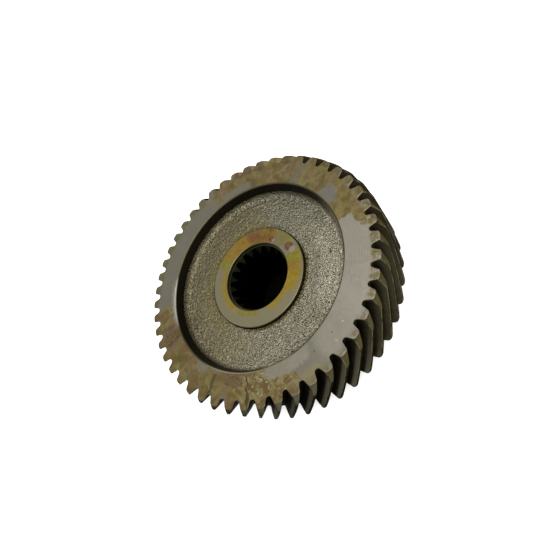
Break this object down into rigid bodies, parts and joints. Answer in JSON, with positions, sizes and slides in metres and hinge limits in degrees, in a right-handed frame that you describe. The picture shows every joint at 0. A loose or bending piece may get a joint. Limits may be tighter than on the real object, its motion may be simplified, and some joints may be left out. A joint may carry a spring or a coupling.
{
  "type": "helical gear",
  "caption": "Helical gear: slanted teeth with pointing chamfers on a machined rim, a recessed rough forged web, and a hub with a splined bore that turns with a shaft.",
  "frame": {"origin": "on the gear's axis, at the back end of the hub, which is the lowest face of the gear as it lies front side up", "axes": "+Z along the gear's axis towards its front face; +X through the middle of one tooth where it meets the front face of the rim; the teeth follow a right-hand helix about +Z"},
  "size_m": [0.1308, 0.1308, 0.0394],
  "materials": {
    "machined_rim": "turned face with fine circular lathe marks, brown and yellow heat and oil stains, dark oiled tooth flanks",
    "forged_web": "as forged and shot blasted: rough, granular, dull grey",
    "machined_hub": "turned face with yellow, orange and brown temper tints, near-black oiled spline"
  },
  "bodies": {
    "root": {"toothed_rim": "machined_rim", "web_disc": "forged_web", "splined_hub": "machined_hub"}
  },
  "joints": []
}
